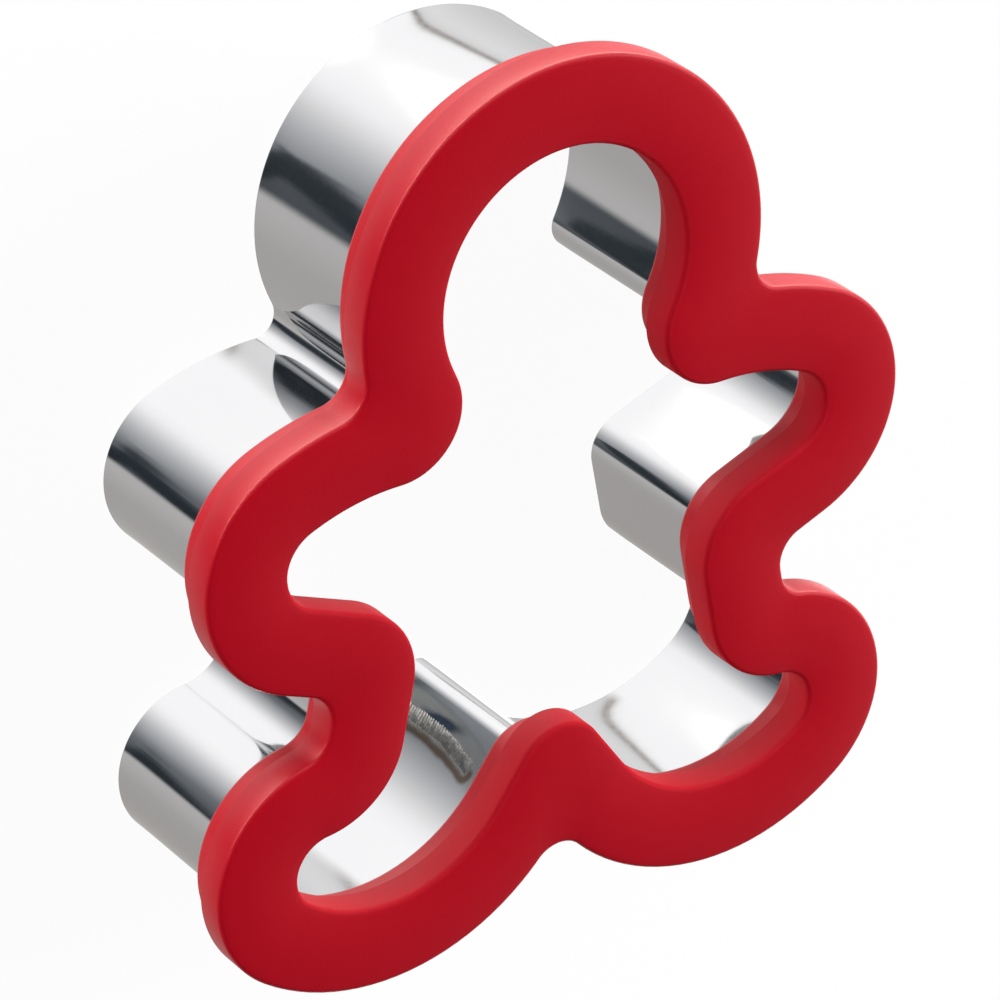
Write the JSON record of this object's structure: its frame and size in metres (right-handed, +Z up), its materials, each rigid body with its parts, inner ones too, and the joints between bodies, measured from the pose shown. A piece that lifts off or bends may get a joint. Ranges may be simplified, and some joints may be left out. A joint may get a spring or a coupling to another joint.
{
  "type": "cookie cutter",
  "caption": "Deep strip-steel cookie cutter in a gingerbread figure outline, its upper edge held in a collar under a wide soft grip for the palm.",
  "frame": {"origin": "middle of the footprint on the plane of the cutting edge", "axes": "+Z up from the cutting edge to the grip, +Y towards the figure's head, +X to the right seen from above"},
  "size_m": [0.0906, 0.1052, 0.0289],
  "materials": {
    "polished_steel": "mirror-polished stainless strip, brownish heat tint beside the weld",
    "collar_plastic": "satin moulded red plastic",
    "cap_rubber": "matte moulded red elastomer"
  },
  "bodies": {
    "root": {"cutter_band": "polished_steel", "grip_collar": "collar_plastic", "grip_cap": "cap_rubber"}
  },
  "joints": []
}
